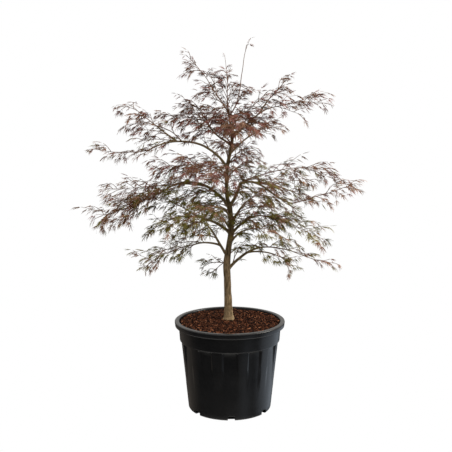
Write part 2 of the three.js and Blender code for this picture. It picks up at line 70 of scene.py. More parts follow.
# Each bough: name, what it springs from, where (height on the trunk, or share of a bough's length), azimuth
# from +X, rise at its start, middle and tip, length, and radius at each end. Angles are in degrees.
BOUGHS = [
    ("left_low", "trunk", 690, 212, (50, 58, 42), 190, 6.5, 3),
    ("left_bottom", "left_low", 0.33, 188, (25, 2, -15), 125, 4.6, 2.8),
    ("right_low", "trunk", 622, -10, (54, 36, 10), 205, 7.5, 3.6),
    ("right_bottom", "right_low", 0.62, -30, (16, 2, -6), 125, 3.6, 2.8),
    ("left_mid", "trunk", 788, 168, (54, 20, 30), 215, 7.5, 3.4),
    ("left_drooping", "left_mid", 0.75, 200, (14, 2, -6), 110, 3.8, 2.8),
    ("left_upper", "trunk", 905, 188, (60, 20, -38), 340, 7.5, 3),
    ("left_level", "left_upper", 0.45, 162, (8, 2, -4), 135, 4, 2.8),
    ("right_upper", "trunk", 912, 5, (58, 66, 76), 122, 7.8, 6),
    ("right_long", "right_upper", 0.94, -12, (30, -34, -8), 262, 5.2, 3),
    ("right_second", "right_long", 0.26, 14, (4, -14, -22), 150, 4, 2.7),
    ("right_third", "right_upper", 0.9, 34, (34, 18, 10), 115, 4.4, 2.8),
    ("right_mid", "trunk", 783, -20, (56, 38, 12), 165, 6.8, 3.4),
    ("left_high", "trunk", 1088, 184, (62, 12, -30), 396, 5.6, 2.8),
    ("left_high_fork", "left_high", 0.67, 165, (30, 36, 36), 112, 3.2, 2.7),
    ("left_rising", "trunk", 1187, 150, (34, 34, 60), 160, 4.6, 2.8),
    ("right_high", "trunk", 1148, -30, (48, 38, 32), 138, 4, 2.8),
    ("right_rising", "trunk", 1218, 8, (46, 42, 30), 196, 4.6, 2.8),
    ("right_rising_shoot", "right_rising", 0.84, 18, (56, 56, 56), 66, 3, 2.6),
    ("front_low", "trunk", 742, 312, (52, 32, 12), 165, 5, 2.8),
    ("front_mid", "trunk", 860, 246, (46, 22, 8), 175, 4.8, 2.8),
    ("back_low", "trunk", 838, 50, (48, 38, 20), 170, 5.6, 2.8),
    ("back_mid", "trunk", 800, 120, (44, 24, 8), 185, 5, 2.8),
]

# Each mass: name, what its stem meets, azimuth, rise at its start, middle and tip, length of stem, reach to
# each side, number of shoots and leaf colour. A mass on the trunk gives the height that it springs from.
MASSES = [
    ("left_foot_leaves", "trunk@652", 190, (30, 2, -24), 92, 40, 4, "olive"),
    ("left_low_leaves", "left_low", 206, (25, 2, -22), 180, 68, 9, "olive"),
    ("left_bottom_leaves", "left_bottom", 194, (-8, -20, -34), 205, 68, 8, "olive"),
    ("right_low_leaves", "right_low", -8, (6, -18, -4), 315, 50, 8, "bronze"),
    ("right_bottom_leaves", "right_bottom", -28, (-10, -22, -40), 98, 42, 4, "olive"),
    ("left_mid_leaves", "left_mid", 164, (36, 14, 4), 200, 78, 10, "olive"),
    ("left_drooping_leaves", "left_drooping", 204, (-16, -22, -30), 122, 58, 7, "olive"),
    ("left_upper_leaves", "left_upper", 192, (-32, -20, -16), 300, 88, 17, "bronze"),
    ("left_level_leaves", "left_level", 166, (-4, -6, -1), 325, 68, 11, "bronze"),
    ("right_long_leaves", "right_long", -8, (16, 18, 22), 268, 56, 9, "bronze"),
    ("right_second_leaves", "right_second", 12, (-18, -14, -8), 84, 46, 5, "olive"),
    ("right_third_leaves", "right_third", 22, (16, 4, -12), 350, 64, 11, "bronze"),
    ("right_mid_leaves", "right_mid", -18, (0, -19, -26), 268, 78, 12, "olive"),
    ("left_far_leaves", "left_high", 178, (-14, 2, 10), 245, 42, 8, "bronze"),
    ("left_high_fork_leaves", "left_high_fork", 166, (32, 35, 4), 185, 48, 7, "red"),
    ("left_rising_leaves", "left_rising", 164, (34, 6, -9), 165, 70, 9, "red"),
    ("right_high_leaves", "right_high", -22, (34, 16, -10), 118, 56, 6, "red"),
    ("right_rising_leaves", "right_rising", 6, (18, 7, -8), 272, 56, 9, "red"),
    ("right_rising_shoot_leaves", "right_rising_shoot", 10, (44, 48, 50), 130, 32, 5, "red"),
    ("left_red_leaves", "trunk@1062", 192, (34, 2, -20), 285, 80, 14, "red"),
    ("top_left_leaves", "trunk@1332", 174, (54, 56, 42), 305, 26, 6, "red"),
    ("top_middle_leaves", "trunk@1350", 96, (60, 84, 80), 128, 52, 8, "red"),
    ("top_tip_leaves", "trunk@1318", 356, (50, 84, 62), 345, 14, 3, "red"),
    ("top_right_leaves", "trunk@1270", 352, (52, 40, 50), 210, 56, 8, "red"),
    ("front_low_leaves", "front_low", 316, (14, 0, -16), 140, 62, 6, "olive"),
    ("front_mid_leaves", "front_mid", 236, (8, -10, -22), 190, 70, 7, "olive"),
    ("front_high_leaves", "trunk@1036", 246, (36, 4, -20), 290, 76, 9, "red"),
    ("front_top_leaves", "trunk@1196", 284, (46, 16, -14), 280, 78, 11, "red"),
    ("back_low_leaves", "back_low", 56, (16, -8, -24), 230, 82, 9, "olive"),
    ("back_mid_leaves", "back_mid", 116, (10, -12, -26), 230, 82, 8, "olive"),
    ("back_high_leaves", "trunk@1000", 78, (44, 8, -20), 320, 76, 9, "bronze"),
    ("back_upper_leaves", "trunk@1120", 96, (40, 10, -18), 270, 66, 8, "red"),
    ("back_top_leaves", "trunk@1240", 86, (48, 20, -12), 250, 72, 9, "red"),
]

# Finer boughs, which spring from a limb or a stem at a share of its length, or from the trunk at a height:
# where, azimuth, rise at start, middle and tip, length, reach to each side, number of shoots and leaf colour.
FINE_BOUGHS = [
    ("top_left_leaves@0.72", 178, (10, -4, -24), 62, 16, 3, "red"),
    ("top_left_leaves@0.3", 130, (70, 62, 40), 100, 32, 4, "red"),
    ("left_rising@0.98", 170, (66, 46, 10), 150, 36, 6, "red"),
    ("left_rising@0.9", 140, (70, 52, 20), 120, 42, 6, "red"),
    ("left_high_fork@0.4", 192, (26, 8, -14), 150, 34, 4, "red"),
    ("left_high@0.62", 172, (50, 24, -6), 190, 38, 5, "bronze"),
    ("left_high@0.86", 198, (-14, -30, -26), 100, 28, 3, "bronze"),
    ("trunk@1094", 22, (62, 36, 4), 150, 50, 7, "red"),
    ("trunk@1040", -20, (54, 28, 4), 175, 40, 4, "bronze"),
    ("left_upper@0.3", 202, (14, -18, -30), 195, 52, 9, "olive"),
    ("trunk@930", 192, (44, 16, -6), 170, 50, 7, "olive"),
    ("right_mid@0.4", 12, (54, 22, -4), 150, 50, 7, "olive"),
    ("trunk@856", -28, (46, 22, -6), 190, 56, 8, "bronze"),
    ("right_upper", -24, (24, -2, -14), 170, 56, 8, "bronze"),
    ("right_long@0.5", 6, (34, 16, 0), 135, 42, 4, "bronze"),
    ("left_low@0.55", 200, (24, 0, -30), 165, 40, 4, "olive"),
    ("right_third_leaves@0.7", -8, (-18, -24, -18), 215, 44, 8, "bronze"),
    ("trunk@1215", 176, (68, 44, 12), 130, 46, 6, "red"),
    ("trunk@1190", 192, (60, 36, 4), 150, 44, 6, "red"),
    ("trunk@1320", 250, (66, 34, 0), 70, 36, 4, "red"),
    ("trunk@1300", 318, (50, 20, -6), 90, 40, 4, "red"),
    ("trunk@884", 218, (46, 12, -12), 150, 50, 5, "olive"),
    ("trunk@948", 300, (54, 24, 0), 120, 46, 6, "olive"),
    ("trunk@1262", 184, (56, 34, 8), 110, 44, 7, "red"),
    ("trunk@905", 200, (40, 14, -10), 120, 50, 5, "olive"),
    ("trunk@690", -18, (54, 22, -8), 150, 46, 6, "olive"),
    ("trunk@1012", 186, (34, 18, -6), 215, 50, 12, "bronze"),
    ("trunk@1235", 262, (50, 24, -4), 110, 50, 7, "red"),
    ("left_high@0.66", 186, (12, 0, -10), 165, 34, 6, "bronze"),
    ("left_bottom@0.7", 186, (14, -2, -16), 120, 36, 4, "olive"),
    ("trunk@812", -10, (50, 24, -4), 90, 50, 5, "olive"),
    ("trunk@1230", -12, (44, 26, 6), 125, 44, 3, "red"),
    ("left_upper@0.55", 210, (10, -10, -24), 140, 44, 8, "olive"),
    ("left_red_leaves@0.65", 186, (0, -10, -18), 130, 38, 6, "bronze"),
    ("right_mid_leaves@0.2", -26, (16, 0, -8), 90, 40, 5, "olive"),
    ("trunk@780", -14, (40, 10, -16), 80, 50, 5, "olive"),
    ("trunk@800", 196, (40, 10, -16), 80, 50, 4, "olive"),
    ("left_upper_leaves@0.4", 198, (-34, -42, -36), 130, 38, 7, "bronze"),
    ("top_left_leaves@0.25", 200, (40, 10, -20), 90, 34, 4, "red"),
    ("left_rising_leaves@0.85", 176, (30, 6, -14), 95, 30, 4, "red"),
    ("left_high@0.3", 150, (60, 50, 30), 60, 22, 1, "red"),
    ("left_rising@0.6", 198, (24, 4, -14), 120, 42, 7, "red"),
    ("right_mid_leaves@0.05", -8, (-6, -14, -20), 90, 44, 5, "olive"),
    ("right_rising@0.5", -16, (10, -8, -24), 90, 42, 3, "red"),
    ("trunk@1232", 286, (50, 24, 4), 105, 46, 6, "red"),
    ("left_rising_leaves@0.2", 150, (50, 34, 10), 90, 36, 4, "red"),
    ("right_third_leaves@0.35", -8, (-16, -24, -16), 140, 38, 6, "bronze"),
    ("left_upper@0.8", 184, (-14, -30, -34), 90, 40, 5, "bronze"),
    ("trunk@960", 252, (44, 18, -6), 100, 46, 3, "olive"),
    ("top_left_leaves@0.45", 40, (50, 30, 0), 50, 18, 3, "red"),
    ("top_left_leaves@0.6", 60, (50, 40, 10), 36, 12, 2, "red"),
    ("left_upper_leaves@0.1", 184, (-6, -30, -36), 130, 44, 7, "olive"),
    ("left_rising@0.95", 184, (14, 0, -14), 100, 40, 5, "red"),
    ("right_upper@0.9", -26, (-14, -30, -34), 140, 50, 5, "bronze"),
    ("right_long@0.7", -14, (-34, -34, -24), 110, 40, 2, "olive"),
    ("left_upper_leaves@0.5", 192, (-40, -40, -30), 120, 34, 5, "bronze"),
    ("left_low_leaves@0.2", 196, (-10, -20, -24), 110, 40, 5, "olive"),
    ("right_low@0.2", 6, (74, 70, 60), 64, 22, 3, "olive"),
    ("top_left_leaves@0.15", 190, (40, 20, 0), 90, 34, 4, "red"),
    ("trunk@1290", 204, (40, 10, -10), 95, 38, 4, "red"),
    ("right_rising@0.25", 10, (50, 20, -10), 60, 36, 3, "red"),
    ("top_right_leaves@0.5", -10, (20, 10, -10), 90, 36, 4, "red"),
    ("left_foot_leaves@0.2", 182, (-30, -40, -40), 70, 26, 3, "olive"),
    ("left_bottom@0.9", 188, (-24, -36, -40), 90, 36, 5, "olive"),
    ("right_rising_shoot_leaves@0.1", -6, (50, 30, 10), 80, 30, 4, "red"),
    ("left_red_leaves@0.4", 170, (10, 0, -14), 110, 40, 4, "red"),
    ("left_upper_leaves@0.15", 168, (10, 0, -10), 110, 36, 4, "bronze"),
    ("right_rising_leaves@0.5", 8, (24, 16, 0), 100, 30, 4, "red"),
    ("top_middle_leaves@0.85", 150, (80, 84, 82), 125, 6, 1, "red"),
    ("right_low_leaves@0.1", -12, (44, 24, 4), 95, 38, 4, "olive"),
    ("trunk@870", 186, (50, 20, -10), 150, 44, 6, "olive"),
    ("left_high_fork_leaves@0.1", 176, (10, 0, -20), 105, 36, 5, "red"),
    ("trunk@1100", -10, (50, 20, -4), 120, 46, 5, "red"),
    ("right_long@0.3", -20, (0, -12, -20), 95, 44, 6, "bronze"),
    ("trunk@850", 300, (40, 10, -10), 90, 46, 6, "olive"),
    ("left_mid@0.6", 200, (-10, -20, -24), 100, 40, 5, "olive"),
    ("left_bottom_leaves@0.3", 180, (0, -10, -20), 100, 36, 4, "olive"),
    ("top_tip_leaves@0.1", 4, (60, 54, 34), 100, 30, 4, "red"),
    ("top_middle_leaves@0.3", 24, (66, 54, 30), 90, 32, 2, "red"),
    ("trunk@1290", -8, (24, 0, -16), 120, 36, 4, "red"),
    ("right_mid@0.6", 20, (10, -6, -16), 110, 40, 4, "olive"),
    ("right_second_leaves@0.2", -4, (-20, -24, -20), 90, 36, 4, "bronze"),
    ("left_upper_leaves@0.3", 174, (-6, -10, -12), 110, 34, 4, "bronze"),
    ("right_bottom_leaves@0.5", -20, (-30, -44, -50), 60, 24, 3, "olive"),
    ("left_bottom_leaves@0.75", 196, (-30, -44, -40), 80, 30, 4, "olive"),
    ("top_left_leaves@0.8", 172, (36, 20, 0), 34, 10, 2, "red"),
    ("right_rising_leaves@0.2", -14, (-12, -20, -20), 110, 34, 4, "red"),
    ("right_third_leaves@0.8", -10, (-30, -40, -40), 60, 26, 2, "bronze"),
]

# ---------------------------------------------------------------- materials


class Value:
    """A node's output. Adding to it or multiplying it adds a Math node."""

    def __init__(self, nodes, socket):
        self.nodes = nodes
        self.socket = socket

    def math(self, operation, other):
        return self.nodes.node("Math", {"operation": operation}, {0: self, 1: other})

    def __add__(self, other):
        return self.math("ADD", other)

    def __mul__(self, other):
        return self.math("MULTIPLY", other)

    __radd__ = __add__
    __rmul__ = __mul__


class Nodes:
    """The nodes of a material or of the world."""

    def __init__(self, owner):
        owner.use_nodes = True
        self.tree = owner.node_tree

    def link(self, target, value):
        if isinstance(value, Value):
            self.tree.links.new(value.socket, target)
        else:
            target.default_value = value

    def node(self, kind, settings=None, inputs=None, output=0):
        """The output of a new node. Its settings come first, then the values or links of its sockets."""
        made = self.tree.nodes.new("ShaderNode" + kind)
        for name, value in (settings or {}).items():
            if name == "stops":
                set_stops(made.color_ramp, value)
            else:
                setattr(made, name, value)
        for name, value in (inputs or {}).items():
            self.link(made.inputs[name], value)
        return Value(self, made.outputs[output])

    def shades(self, factor, stops):
        """A colour from a factor, through (place, colour) stops."""
        return self.node("ValToRGB", {"stops": stops}, {"Fac": factor}, "Color")


def set_stops(ramp, stops):
    while len(ramp.elements) < len(stops):
        ramp.elements.new(0.5)
    for element, (place, colour) in zip(ramp.elements, stops):
        element.position = place
        element.color = (*colour, 1)


class Finish(Nodes):
    """A material made of nodes round one Principled shader."""

    def __init__(self, name, colour, roughness, **constants):
        self.material = bpy.data.materials.new(name)
        super().__init__(self.material)
        self.shader = self.tree.nodes["Principled BSDF"]
        self.material.diffuse_color = (*colour, 1)
        self.set(Base_Color=(*colour, 1), Roughness=roughness, **constants)

    def set(self, **values):
        for name, value in values.items():
            self.link(self.shader.inputs[name.replace("_", " ")], value)

    def place(self, scale=(1, 1, 1)):
        """Object coordinates, stretched by that scale."""
        where = self.node("TexCoord", output="Object")
        return self.node("Mapping", inputs={"Vector": where, "Scale": scale})

    def noise(self, where, scale, detail=4, roughness=0.6, distortion=0.0):
        values = {"Vector": where, "Scale": scale, "Detail": detail}
        return self.node("TexNoise", inputs={**values, "Roughness": roughness, "Distortion": distortion})

    def bump(self, height, distance, strength):
        made = self.node("Bump", inputs={"Height": height, "Distance": distance, "Strength": strength})
        self.set(Normal=made)


def moulded_plastic():
    """Black moulded plastic with a soft gloss, slightly uneven and dusty."""
    finish = Finish("pot_plastic", (0.003, 0.0032, 0.0036), 0.4, Specular_IOR_Level=0.36)
    where = finish.place()
    patches = finish.noise(where, 9, detail=3)
    grain = finish.noise(where, 900, detail=2)
    scuffs = finish.noise(finish.place((30, 30, 260)), 1.0, detail=5, roughness=0.7)
    black, dusty = (0.0018, 0.0019, 0.0024), (0.004, 0.0042, 0.005)
    dust = finish.shades(patches * 0.6 + scuffs * 0.4, [(0.35, black), (0.75, dusty)])
    finish.set(Base_Color=dust, Roughness=0.2 + patches * 0.12 + scuffs * 0.12)
    finish.bump(grain * 0.5 + patches * 0.5, 0.4 * MM, 0.5)
    return finish.material


FURROW_STRETCH = 0.14  # how much slower the bark changes upwards than round the limb
FURROW, SLOPE, RIDGE = 0.36, 0.5, 0.64  # places in the bark's relief, from deep to high
# The trunk's bark is darker far up: partly the younger bark's own colour, partly painted shade under the
# crown.
YOUNG_AND_SHADED_BARK_HEIGHTS = (0.62, 0.95)  # the heights, in metres, between which bark turns to its upper colour


def bark(name, dark, light, scale, upper=None):
    """Young bark: furrowed along the limb, with paler ridges. Far up it can turn to another, darker colour:
    partly the younger bark's own, partly painted shade under the crown.
    """
    finish = Finish(name, light, 0.85, Specular_IOR_Level=0.08)
    stretched = finish.place((scale, scale, FURROW_STRETCH * scale))
    furrows = finish.noise(stretched, 1.0, detail=6, roughness=0.65, distortion=0.4)
    patches = finish.noise(finish.place(), 34, detail=3)
    ridges = furrows * 0.65 + patches * 0.35
    middle = [(a + b) / 2 for a, b in zip(dark, light)]
    shade = finish.shades(ridges, [(FURROW, dark), (SLOPE, middle), (RIDGE, light)])
    if upper:
        # Blends to the darker upper colour with height: younger bark, and painted shade under the crown.
        low, high = YOUNG_AND_SHADED_BARK_HEIGHTS
        height = finish.node("SeparateXYZ", inputs={0: finish.place()}, output="Z")
        young_and_shaded = finish.node("MapRange", inputs={"Value": height, "From Min": low, "From Max": high})
        above = finish.shades(ridges, [(FURROW, dark), (RIDGE, upper)])
        shade = finish.node("Mix", {"data_type": "RGBA"}, {0: young_and_shaded, 6: shade, 7: above}, output=2)
    finish.set(Base_Color=shade, Roughness=0.75 + patches * 0.2)
    finish.bump(furrows, 1.6 * MM, 0.8)
    return finish.material


def leaf(name, colour):
    finish = Finish(name, colour, 0.7, Specular_IOR_Level=0.03)
    veins = finish.noise(finish.place(), 420, detail=2)
    finish.set(Roughness=0.45 + veins * 0.25)
    return finish.material


def wood_chip(name, colour):
    finish = Finish(name, colour, 0.9, Specular_IOR_Level=0.05)
    fibres = finish.noise(finish.place((700, 700, 700)), 1.0, detail=4)
    finish.set(Roughness=0.75 + fibres * 0.2)
    finish.bump(fibres, 0.8 * MM, 0.6)
    return finish.material


# ---------------------------------------------------------------- helpers


def heading(azimuth, rise):
    level = math.cos(math.radians(rise))
    turn = math.radians(azimuth)
    return Vector((level * math.cos(turn), level * math.sin(turn), math.sin(math.radians(rise))))


def turned(degrees, axis):
    return Matrix.Rotation(math.radians(degrees), 4, axis)


def bend(values, t):
    """The value at share t of a quantity that is start, middle and tip at 0, 0.5 and 1."""
    start, middle, tip = values
    return start * (1 - t) * (1 - 2 * t) + middle * 4 * t * (1 - t) + tip * t * (2 * t - 1)


def limb_points(start, azimuth, rise, length, step):
    """Points along a limb that sets out from start, one for each step."""
    count = max(2, round(length / step))
    points = [start.copy()]
    for i in range(count):
        points.append(points[-1] + heading(azimuth, bend(rise, (i + 0.5) / count)) * (length / count))
    return points


def point_at(points, share):
    place = min(max(share, 0), 1) * (len(points) - 1)
    i = min(int(place), len(points) - 2)
    return points[i].lerp(points[i + 1], place - i)


def rise_at(points, share):
    i = min(int(share * (len(points) - 1)), len(points) - 2)
    along = (points[i + 1] - points[i]).normalized()
    return math.degrees(math.asin(along.z))


def taper(count, start, tip, power=1.0):
    return [start + (tip - start) * (i / (count - 1)) ** power for i in range(count)]


def new_object(name, data):
    made = bpy.data.objects.new(name, data)
    bpy.context.scene.collection.objects.link(made)
    return made


def add_piece(name, mesh, material, slot, *replaced, smooth=True):
    mesh.name = name
    mesh.materials.append(material)
    mesh.polygons.foreach_set("use_smooth", [smooth] * len(mesh.polygons))
    piece = new_object(name, mesh)
    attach(piece, "root")
    if replaced:
        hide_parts(*replaced)
    return piece


def mesh_from(bm):
    mesh = bpy.data.meshes.new("mesh")
    bm.to_mesh(mesh)
    bm.free()
    return mesh


def as_arrays(bm):
    """The points and triangles of a bmesh, which is freed."""
    bm.verts.index_update()
    vertices = np.array([v.co for v in bm.verts], float)
    triangles = np.array([[v.index for v in f.verts] for f in bm.faces], int)
    bm.free()
    return vertices, triangles


def section(rows):
    """Points of a section, from (radius, height) in millimetres."""
    return [Vector((radius * MM, 0, z * MM)) for radius, z in rows]


def spun(points, steps):
    """A section turned once round the vertical axis."""
    bm = bmesh.new()
    verts = [bm.verts.new(point) for point in points]
    edges = [bm.edges.new(pair) for pair in zip(verts, verts[1:])]
    bmesh.ops.spin(
        bm, geom=verts + edges, cent=(0, 0, 0), axis=(0, 0, 1), angle=2 * math.pi, steps=steps, use_merge=True
    )
    bmesh.ops.remove_doubles(bm, verts=bm.verts, dist=0.01 * MM)
    return bm


class Heap:
    """Many copies of small shapes, joined into one mesh."""

    def __init__(self):
        self.vertices = []
        self.triangles = []
        self.count = 0

    def add(self, shape, matrix):
        vertices, triangles = shape
        m = np.array(matrix)
        self.vertices.append(vertices @ m[:3, :3].T + m[:3, 3])
        self.triangles.append(triangles + self.count)
        self.count += len(vertices)

    def mesh(self):
        mesh = bpy.data.meshes.new("mesh")
        vertices = np.concatenate(self.vertices)
        triangles = np.concatenate(self.triangles)
        mesh.vertices.add(len(vertices))
        mesh.vertices.foreach_set("co", vertices.ravel())
        mesh.loops.add(triangles.size)
        mesh.loops.foreach_set("vertex_index", triangles.ravel())
        mesh.polygons.add(len(triangles))
        mesh.polygons.foreach_set("loop_start", np.arange(0, triangles.size, 3))
        mesh.update(calc_edges=True)
        mesh.validate()
        return mesh


# ---------------------------------------------------------------- pot

POT = {
    "height": 404, "lip_radius": 250, "lip_width": 22, "lip_height": 24, "lip_lean": 3, "lip_droop": 0.5,
    "lip_crown": 1, "collar_top": 231, "collar_bottom": 226.5, "collar_z": 315, "step": 1.5,
    "body_top": 220.5, "base": 188, "wall": 4, "floor": 5, "foot_round": 6, "soft_edge": 0.9,
    "soft_from": 34,
}
LIP_ROUNDS = (2, 3, 6, 5)  # where the lip leaves the collar, then its lower, upper and inner edges
PANEL = {"count": 12, "width": 58, "depth": 8, "bottom": 110, "top": 309, "shoulder": 1.2}
PANEL_EDGE = (0.5, 1.5)  # degrees from a panel's edge to its floor, and to the rib beside it
NOTCH = {"count": 7, "width": 31, "height": 19, "depth": 40, "first": -88, "round": 6}
WALL_RINGS = (24, 50, 80, PANEL["bottom"], 140, 170, 200, 230, 260, 285)
COLLAR_RINGS = (3, 59)  # heights above the collar's foot, close to its ends to keep its shading even
SECTOR_COLUMNS = 16  # columns of faces in each panel's share of the wall
PANEL_COLUMNS = 4  # of those, to each side of a panel's middle


def rounded(points, corners, segments=4):
    """The profile with each corner that has a radius replaced by a short curve."""
    made = []
    for i, point in enumerate(points):
        radius = corners.get(i, 0)
        if not radius:
            made.append(point)
            continue
        before = (points[i - 1] - point).normalized() * radius
        after = (points[i + 1] - point).normalized() * radius
        for k in range(segments + 1):
            t = k / segments
            made.append(point + before * (1 - t) ** 2 + after * t**2)
    return made


def wall_radius(z):
    return POT["base"] + (POT["body_top"] - POT["base"]) * z / POT["collar_z"]


def pot_profile():
    """The pot's section: out along its underside, up the outside, over the lip and down the inside."""
    p = POT
    rows = [(0, 0), (p["base"], 0)]
    shoulders = (PANEL["top"] - PANEL["shoulder"], PANEL["top"] + PANEL["shoulder"])
    rows += [(wall_radius(z), z) for z in (*WALL_RINGS, *shoulders)]
    collar_foot, lip_z = p["collar_z"] + p["step"], p["height"] - p["lip_height"]
    rows += [(p["body_top"], p["collar_z"] - p["step"]), (p["collar_bottom"], collar_foot)]
    slope = (p["collar_top"] - p["collar_bottom"]) / (lip_z - collar_foot)
    rows += [(p["collar_bottom"] + slope * up, collar_foot + up) for up in COLLAR_RINGS]
    lip_starts = len(rows)
    rows += [
        (p["collar_top"], lip_z),
        (p["lip_radius"] - p["lip_lean"], lip_z - p["lip_droop"]),
        (p["lip_radius"], p["height"] - p["lip_crown"]),
        (p["lip_radius"] - p["lip_width"] + p["lip_crown"], p["height"]),
        (p["collar_top"] - p["wall"], lip_z),
    ]
    for z in (p["collar_z"], p["floor"]):
        rows.append((wall_radius(z) - p["wall"] - PANEL["depth"] * z / p["collar_z"], z))
    rows.append((0, p["floor"]))
    corners = {1: p["foot_round"] * MM}
    corners.update({lip_starts + i: radius * MM for i, radius in enumerate(LIP_ROUNDS)})
    return rounded(section(rows), corners)


def sink_panels(bm):
    """Draws the columns of the wall to the panels' edges, and pushes those inside a panel in."""
    sector = 360 / PANEL["count"]
    rib_columns = SECTOR_COLUMNS // 2 - PANEL_COLUMNS - 1
    for vert in bm.verts:
        z = vert.co.z / MM
        radius = math.hypot(vert.co.x, vert.co.y)
        inside = radius < (wall_radius(z) - POT["wall"] / 2) * MM
        if inside or not PANEL["bottom"] - 1 < z < PANEL["top"] + 2:
            continue
        turn = math.degrees(math.atan2(vert.co.y, vert.co.x)) + 90
        middle = round(turn / sector) * sector
        column = round((turn - middle) / (sector / SECTOR_COLUMNS))
        half = math.degrees(math.asin(PANEL["width"] / 2 / wall_radius(z)))
        floor_edge, rib_edge = half - PANEL_EDGE[0], half + PANEL_EDGE[1]
        depth = 0
        if abs(column) > PANEL_COLUMNS:
            past = abs(column) - PANEL_COLUMNS - 1
            across = math.copysign(rib_edge + past * (sector / 2 - rib_edge) / rib_columns, column)
        else:
            across = column * floor_edge / PANEL_COLUMNS
            if z < PANEL["top"]:
                up = max(0, (z - PANEL["bottom"]) / (PANEL["top"] - PANEL["bottom"]))
                depth = PANEL["depth"] * up * MM
        vert.co = heading(middle + across - 90, 0) * (radius - depth) + Vector((0, 0, vert.co.z))


def runs_outwards(edge):
    """Whether an edge of a notch's block is an upper one that runs away from the pot's axis."""
    a, b = (v.co for v in edge.verts)
    return min(a.z, b.z) > 0 and abs(a.length - b.length) > NOTCH["depth"] * MM / 4


def make_notch_cutter():
    """Blocks for the drain notches in the foot, rounded along their upper edges."""
    bm = bmesh.new()
    size = Matrix.Diagonal((NOTCH["depth"] * MM, NOTCH["width"] * MM, 2 * NOTCH["height"] * MM, 1))
    out = Matrix.Translation((POT["base"] * MM, 0, 0))
    for i in range(NOTCH["count"]):
        around = turned(NOTCH["first"] + 360 * i / NOTCH["count"], "Z")
        bmesh.ops.create_cube(bm, size=1, matrix=around @ out @ size)
    outward = [e for e in bm.edges if runs_outwards(e)]
    bmesh.ops.bevel(
        bm, geom=outward, offset=NOTCH["round"] * MM, segments=4, profile=0.5, affect="EDGES", material=-1
    )
    return new_object("notch_cutter", mesh_from(bm))


def make_pot(material):
    bm = spun(pot_profile(), PANEL["count"] * SECTOR_COLUMNS)
    sink_panels(bm)
    bmesh.ops.recalc_face_normals(bm, faces=bm.faces)
    pot = add_piece("nursery_pot", mesh_from(bm), material, "pot", "pot")
    cutter = make_notch_cutter()
    notches = pot.modifiers.new("notches", "BOOLEAN")
    notches.operation = "DIFFERENCE"
    notches.solver = "EXACT"
    notches.object = cutter
    edges = pot.modifiers.new("soft_edges", "BEVEL")
    edges.width = POT["soft_edge"] * MM
    edges.segments = 2
    edges.limit_method = "ANGLE"
    edges.angle_limit = math.radians(POT["soft_from"])
    bpy.context.view_layer.update()
    seen = pot.evaluated_get(bpy.context.evaluated_depsgraph_get())
    made = bpy.data.meshes.new_from_object(seen)
    pot.modifiers.clear()
    pot.data = made
    bpy.data.objects.remove(cutter)


# ---------------------------------------------------------------- bark mulch

MULCH = {"edge": 396, "flat": 64, "radius": 225, "soil": 3, "bottom": 350, "bottom_radius": 214}
RING = {"width": 5, "columns": 144}  # of the bed's faces
LUMPS = {"height": 4.5, "scale": 40, "above": 370, "fractal": (0.8, 2.2, 4)}
CHIPS = {"count": 9000, "size": (5, 17), "scales": (0.6, 1), "from_wall": 4, "sunk": 1.5, "loose": (-1.5, 3)}
CHIP_FORM = ((1, 0.35), (0.42, 0.6), (0.2, 0.5))  # length, width and thickness, and how much each can shrink
CHIP_WARP = 0.12
CHIP_TILT = (0.3, 0.25)  # radians
CHIP_TINTS = {
    # name: colour, share of the chips
    "dark": ((0.01, 0.004, 0.003), 0.38),
    "brown": ((0.04, 0.015, 0.008), 0.32),
    "russet": ((0.1, 0.034, 0.016), 0.22),
    "tan": ((0.24, 0.1, 0.05), 0.08),
}


def ground_height(radius):
    """Height of the mulch at that distance from the pot's axis, in millimetres."""
    share = min(max((MULCH["radius"] - radius) / (MULCH["radius"] - MULCH["flat"]), 0), 1)
    return MULCH["edge"] + (GROUND_Z - MULCH["edge"]) * math.sin(share * math.pi / 2)


def make_bed(material):
    """The soil under the chips, lumpy, from the pot's wall to the trunk. Its near-black colour is partly the
    soil's own and partly painted shade in the gaps between the chips.
    """
    radii = range(0, MULCH["radius"] + 1, RING["width"])
    rows = [(radius, ground_height(radius) - MULCH["soil"]) for radius in radii]
    rows += [(MULCH["bottom_radius"], MULCH["bottom"]), (0, MULCH["bottom"])]
    bm = spun(section(rows), RING["columns"])
    for vert in bm.verts:
        if vert.co.z > LUMPS["above"] * MM:
            lump = noise.fractal(vert.co * LUMPS["scale"], *LUMPS["fractal"])
            vert.co.z += LUMPS["height"] * MM * lump
    bmesh.ops.recalc_face_normals(bm, faces=bm.faces)
    add_piece("mulch_bed", mesh_from(bm), material, "mulch", "bark_mulch")


def chip_shapes(draw, count=10):
    """Flat split pieces of bark, a unit long, as (vertices, triangles)."""
    shapes = []
    for _ in range(count):
        bm = bmesh.new()
        bmesh.ops.create_cube(bm, size=1)
        for vert in bm.verts:
            for axis, (full, shrink) in enumerate(CHIP_FORM):
                vert.co[axis] *= full * (1 - shrink * draw.random())
            vert.co.z += CHIP_WARP * vert.co.x * draw.uniform(-1, 1)
        bmesh.ops.triangulate(bm, faces=bm.faces)
        shapes.append(as_arrays(bm))
    return shapes


